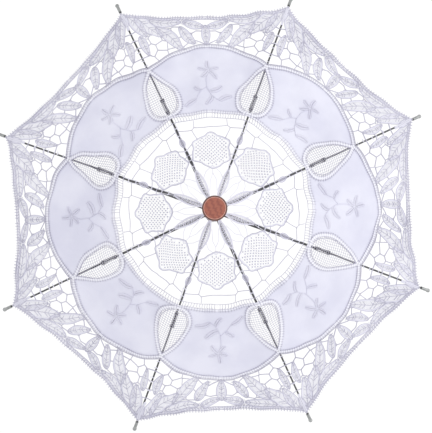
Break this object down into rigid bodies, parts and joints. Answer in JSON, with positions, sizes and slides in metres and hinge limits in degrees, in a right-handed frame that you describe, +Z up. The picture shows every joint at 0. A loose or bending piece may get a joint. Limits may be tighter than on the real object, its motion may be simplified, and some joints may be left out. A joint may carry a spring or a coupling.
{
  "type": "lace parasol",
  "caption": "Open parasol with a lace canopy on wire ribs, forked stretchers, a sliding runner, and a turned wooden shaft, handle and ferrule.",
  "frame": {"origin": "centre of the flat end face of the handle", "axes": "+Z up the shaft from the handle to the ferrule; +X along rib 1, seen from above the ribs are numbered counter-clockwise"},
  "size_m": [0.6016, 0.6016, 0.4822],
  "materials": {
    "handle": "satin",
    "shaft": "satin",
    "ferrule": "satin",
    "crown_metal": "satin",
    "runner_metal": "satin",
    "crown_wire": "satin",
    "pins": "satin",
    "catch": "satin",
    "rib_wire": "satin",
    "tips": "satin",
    "lace": "matte"
  },
  "bodies": {
    "frame": {"shaft": "shaft", "handle": "handle", "ferrule": "ferrule", "crown": "crown_metal", "crown_wire": "crown_wire", "crown_pin": "pins", "canopy_collar": "lace", "stop_pin": "pins"},
    "runner": {"runner": "runner_metal"},
    "top_catch": {"top_catch": "catch"},
    "bottom_catch": {"bottom_catch": "catch"},
    "rib_1": {"rib_1": "rib_wire", "tip_1": "tips", "rivet_1": "pins"},
    "stretcher_1": {"stretcher_1": "rib_wire"},
    "panel_1_left": {"panel_1_left": "lace"},
    "panel_1_right": {"panel_1_right": "lace"},
    "rib_2": {"rib_2": "rib_wire", "tip_2": "tips", "rivet_2": "pins"},
    "stretcher_2": {"stretcher_2": "rib_wire"},
    "panel_2_left": {"panel_2_left": "lace"},
    "panel_2_right": {"panel_2_right": "lace"},
    "rib_3": {"rib_3": "rib_wire", "tip_3": "tips", "rivet_3": "pins"},
    "stretcher_3": {"stretcher_3": "rib_wire"},
    "panel_3_left": {"panel_3_left": "lace"},
    "panel_3_right": {"panel_3_right": "lace"},
    "rib_4": {"rib_4": "rib_wire", "tip_4": "tips", "rivet_4": "pins"},
    "stretcher_4": {"stretcher_4": "rib_wire"},
    "panel_4_left": {"panel_4_left": "lace"},
    "panel_4_right": {"panel_4_right": "lace"},
    "rib_5": {"rib_5": "rib_wire", "tip_5": "tips", "rivet_5": "pins"},
    "stretcher_5": {"stretcher_5": "rib_wire"},
    "panel_5_left": {"panel_5_left": "lace"},
    "panel_5_right": {"panel_5_right": "lace"},
    "rib_6": {"rib_6": "rib_wire", "tip_6": "tips", "rivet_6": "pins"},
    "stretcher_6": {"stretcher_6": "rib_wire"},
    "panel_6_left": {"panel_6_left": "lace"},
    "panel_6_right": {"panel_6_right": "lace"},
    "rib_7": {"rib_7": "rib_wire", "tip_7": "tips", "rivet_7": "pins"},
    "stretcher_7": {"stretcher_7": "rib_wire"},
    "panel_7_left": {"panel_7_left": "lace"},
    "panel_7_right": {"panel_7_right": "lace"},
    "rib_8": {"rib_8": "rib_wire", "tip_8": "tips", "rivet_8": "pins"},
    "stretcher_8": {"stretcher_8": "rib_wire"},
    "panel_8_left": {"panel_8_left": "lace"},
    "panel_8_right": {"panel_8_right": "lace"}
  },
  "joints": [
    {"name": "runner_slide", "type": "slide", "parent": "frame", "child": "runner", "axis": [0, 0, -1], "range_m": [0, 0.18242]},
    {"name": "top_catch_push", "type": "slide", "parent": "frame", "child": "top_catch", "axis": [-0.9239, -0.3827, 0], "range_m": [0, 0.0014], "stiffness_N_per_m": 600},
    {"name": "bottom_catch_push", "type": "slide", "parent": "frame", "child": "bottom_catch", "axis": [-0.9239, -0.3827, 0], "range_m": [0, 0.0014], "stiffness_N_per_m": 600},
    {"name": "rib_1_hinge", "type": "hinge", "parent": "frame", "child": "rib_1", "pos_m": [0.01, 0, 0.42519], "axis": [0, 1, 0], "range_deg": [0, 64.52]},
    {"name": "stretcher_1_hinge", "type": "hinge", "parent": "rib_1", "child": "stretcher_1", "pos_m": [0.14675, 0, 0.36861], "axis": [0, 1, 0], "range_deg": [-129.04, 0]},
    {"name": "panel_1_left_fold", "type": "hinge", "parent": "rib_1", "child": "panel_1_left", "pos_m": [0, 0, 0.43296], "axis": [0.924, 0, -0.3824], "range_deg": [0, 72]},
    {"name": "panel_1_right_fold", "type": "hinge", "parent": "rib_1", "child": "panel_1_right", "pos_m": [0, 0, 0.43296], "axis": [0.924, 0, -0.3824], "range_deg": [-72, 0]},
    {"name": "rib_2_hinge", "type": "hinge", "parent": "frame", "child": "rib_2", "pos_m": [0.00707, 0.00707, 0.42519], "axis": [-0.7071, 0.7071, 0], "range_deg": [0, 64.52]},
    {"name": "stretcher_2_hinge", "type": "hinge", "parent": "rib_2", "child": "stretcher_2", "pos_m": [0.10377, 0.10377, 0.36861], "axis": [-0.7071, 0.7071, 0], "range_deg": [-129.04, 0]},
    {"name": "panel_2_left_fold", "type": "hinge", "parent": "rib_2", "child": "panel_2_left", "pos_m": [0, 0, 0.43296], "axis": [0.6534, 0.6534, -0.3824], "range_deg": [0, 72]},
    {"name": "panel_2_right_fold", "type": "hinge", "parent": "rib_2", "child": "panel_2_right", "pos_m": [0, 0, 0.43296], "axis": [0.6534, 0.6534, -0.3824], "range_deg": [-72, 0]},
    {"name": "rib_3_hinge", "type": "hinge", "parent": "frame", "child": "rib_3", "pos_m": [0, 0.01, 0.42519], "axis": [-1, 0, 0], "range_deg": [0, 64.52]},
    {"name": "stretcher_3_hinge", "type": "hinge", "parent": "rib_3", "child": "stretcher_3", "pos_m": [0, 0.14675, 0.36861], "axis": [-1, 0, 0], "range_deg": [-129.04, 0]},
    {"name": "panel_3_left_fold", "type": "hinge", "parent": "rib_3", "child": "panel_3_left", "pos_m": [0, 0, 0.43296], "axis": [0, 0.924, -0.3824], "range_deg": [0, 72]},
    {"name": "panel_3_right_fold", "type": "hinge", "parent": "rib_3", "child": "panel_3_right", "pos_m": [0, 0, 0.43296], "axis": [0, 0.924, -0.3824], "range_deg": [-72, 0]},
    {"name": "rib_4_hinge", "type": "hinge", "parent": "frame", "child": "rib_4", "pos_m": [-0.00707, 0.00707, 0.42519], "axis": [-0.7071, -0.7071, 0], "range_deg": [0, 64.52]},
    {"name": "stretcher_4_hinge", "type": "hinge", "parent": "rib_4", "child": "stretcher_4", "pos_m": [-0.10377, 0.10377, 0.36861], "axis": [-0.7071, -0.7071, 0], "range_deg": [-129.04, 0]},
    {"name": "panel_4_left_fold", "type": "hinge", "parent": "rib_4", "child": "panel_4_left", "pos_m": [0, 0, 0.43296], "axis": [-0.6534, 0.6534, -0.3824], "range_deg": [0, 72]},
    {"name": "panel_4_right_fold", "type": "hinge", "parent": "rib_4", "child": "panel_4_right", "pos_m": [0, 0, 0.43296], "axis": [-0.6534, 0.6534, -0.3824], "range_deg": [-72, 0]},
    {"name": "rib_5_hinge", "type": "hinge", "parent": "frame", "child": "rib_5", "pos_m": [-0.01, 0, 0.42519], "axis": [0, -1, 0], "range_deg": [0, 64.52]},
    {"name": "stretcher_5_hinge", "type": "hinge", "parent": "rib_5", "child": "stretcher_5", "pos_m": [-0.14675, 0, 0.36861], "axis": [0, -1, 0], "range_deg": [-129.04, 0]},
    {"name": "panel_5_left_fold", "type": "hinge", "parent": "rib_5", "child": "panel_5_left", "pos_m": [0, 0, 0.43296], "axis": [-0.924, 0, -0.3824], "range_deg": [0, 72]},
    {"name": "panel_5_right_fold", "type": "hinge", "parent": "rib_5", "child": "panel_5_right", "pos_m": [0, 0, 0.43296], "axis": [-0.924, 0, -0.3824], "range_deg": [-72, 0]},
    {"name": "rib_6_hinge", "type": "hinge", "parent": "frame", "child": "rib_6", "pos_m": [-0.00707, -0.00707, 0.42519], "axis": [0.7071, -0.7071, 0], "range_deg": [0, 64.52]},
    {"name": "stretcher_6_hinge", "type": "hinge", "parent": "rib_6", "child": "stretcher_6", "pos_m": [-0.10377, -0.10377, 0.36861], "axis": [0.7071, -0.7071, 0], "range_deg": [-129.04, 0]},
    {"name": "panel_6_left_fold", "type": "hinge", "parent": "rib_6", "child": "panel_6_left", "pos_m": [0, 0, 0.43296], "axis": [-0.6534, -0.6534, -0.3824], "range_deg": [0, 72]},
    {"name": "panel_6_right_fold", "type": "hinge", "parent": "rib_6", "child": "panel_6_right", "pos_m": [0, 0, 0.43296], "axis": [-0.6534, -0.6534, -0.3824], "range_deg": [-72, 0]},
    {"name": "rib_7_hinge", "type": "hinge", "parent": "frame", "child": "rib_7", "pos_m": [0, -0.01, 0.42519], "axis": [1, 0, 0], "range_deg": [0, 64.52]},
    {"name": "stretcher_7_hinge", "type": "hinge", "parent": "rib_7", "child": "stretcher_7", "pos_m": [0, -0.14675, 0.36861], "axis": [1, 0, 0], "range_deg": [-129.04, 0]},
    {"name": "panel_7_left_fold", "type": "hinge", "parent": "rib_7", "child": "panel_7_left", "pos_m": [0, 0, 0.43296], "axis": [0, -0.924, -0.3824], "range_deg": [0, 72]},
    {"name": "panel_7_right_fold", "type": "hinge", "parent": "rib_7", "child": "panel_7_right", "pos_m": [0, 0, 0.43296], "axis": [0, -0.924, -0.3824], "range_deg": [-72, 0]},
    {"name": "rib_8_hinge", "type": "hinge", "parent": "frame", "child": "rib_8", "pos_m": [0.00707, -0.00707, 0.42519], "axis": [0.7071, 0.7071, 0], "range_deg": [0, 64.52]},
    {"name": "stretcher_8_hinge", "type": "hinge", "parent": "rib_8", "child": "stretcher_8", "pos_m": [0.10377, -0.10377, 0.36861], "axis": [0.7071, 0.7071, 0], "range_deg": [-129.04, 0]},
    {"name": "panel_8_left_fold", "type": "hinge", "parent": "rib_8", "child": "panel_8_left", "pos_m": [0, 0, 0.43296], "axis": [0.6534, -0.6534, -0.3824], "range_deg": [0, 72]},
    {"name": "panel_8_right_fold", "type": "hinge", "parent": "rib_8", "child": "panel_8_right", "pos_m": [0, 0, 0.43296], "axis": [0.6534, -0.6534, -0.3824], "range_deg": [-72, 0]}
  ],
  "couplings": [
    {"joint": "rib_1_hinge", "follows": "runner_slide", "rad_per_m": 6.1732},
    {"joint": "stretcher_1_hinge", "follows": "runner_slide", "rad_per_m": -12.346},
    {"joint": "panel_1_left_fold", "follows": "runner_slide", "rad_per_m": 6.8888},
    {"joint": "panel_1_right_fold", "follows": "runner_slide", "rad_per_m": -6.8888},
    {"joint": "rib_2_hinge", "follows": "runner_slide", "rad_per_m": 6.1732},
    {"joint": "stretcher_2_hinge", "follows": "runner_slide", "rad_per_m": -12.346},
    {"joint": "panel_2_left_fold", "follows": "runner_slide", "rad_per_m": 6.8888},
    {"joint": "panel_2_right_fold", "follows": "runner_slide", "rad_per_m": -6.8888},
    {"joint": "rib_3_hinge", "follows": "runner_slide", "rad_per_m": 6.1732},
    {"joint": "stretcher_3_hinge", "follows": "runner_slide", "rad_per_m": -12.346},
    {"joint": "panel_3_left_fold", "follows": "runner_slide", "rad_per_m": 6.8888},
    {"joint": "panel_3_right_fold", "follows": "runner_slide", "rad_per_m": -6.8888},
    {"joint": "rib_4_hinge", "follows": "runner_slide", "rad_per_m": 6.1732},
    {"joint": "stretcher_4_hinge", "follows": "runner_slide", "rad_per_m": -12.346},
    {"joint": "panel_4_left_fold", "follows": "runner_slide", "rad_per_m": 6.8888},
    {"joint": "panel_4_right_fold", "follows": "runner_slide", "rad_per_m": -6.8888},
    {"joint": "rib_5_hinge", "follows": "runner_slide", "rad_per_m": 6.1732},
    {"joint": "stretcher_5_hinge", "follows": "runner_slide", "rad_per_m": -12.346},
    {"joint": "panel_5_left_fold", "follows": "runner_slide", "rad_per_m": 6.8888},
    {"joint": "panel_5_right_fold", "follows": "runner_slide", "rad_per_m": -6.8888},
    {"joint": "rib_6_hinge", "follows": "runner_slide", "rad_per_m": 6.1732},
    {"joint": "stretcher_6_hinge", "follows": "runner_slide", "rad_per_m": -12.346},
    {"joint": "panel_6_left_fold", "follows": "runner_slide", "rad_per_m": 6.8888},
    {"joint": "panel_6_right_fold", "follows": "runner_slide", "rad_per_m": -6.8888},
    {"joint": "rib_7_hinge", "follows": "runner_slide", "rad_per_m": 6.1732},
    {"joint": "stretcher_7_hinge", "follows": "runner_slide", "rad_per_m": -12.346},
    {"joint": "panel_7_left_fold", "follows": "runner_slide", "rad_per_m": 6.8888},
    {"joint": "panel_7_right_fold", "follows": "runner_slide", "rad_per_m": -6.8888},
    {"joint": "rib_8_hinge", "follows": "runner_slide", "rad_per_m": 6.1732},
    {"joint": "stretcher_8_hinge", "follows": "runner_slide", "rad_per_m": -12.346},
    {"joint": "panel_8_left_fold", "follows": "runner_slide", "rad_per_m": 6.8888},
    {"joint": "panel_8_right_fold", "follows": "runner_slide", "rad_per_m": -6.8888}
  ]
}
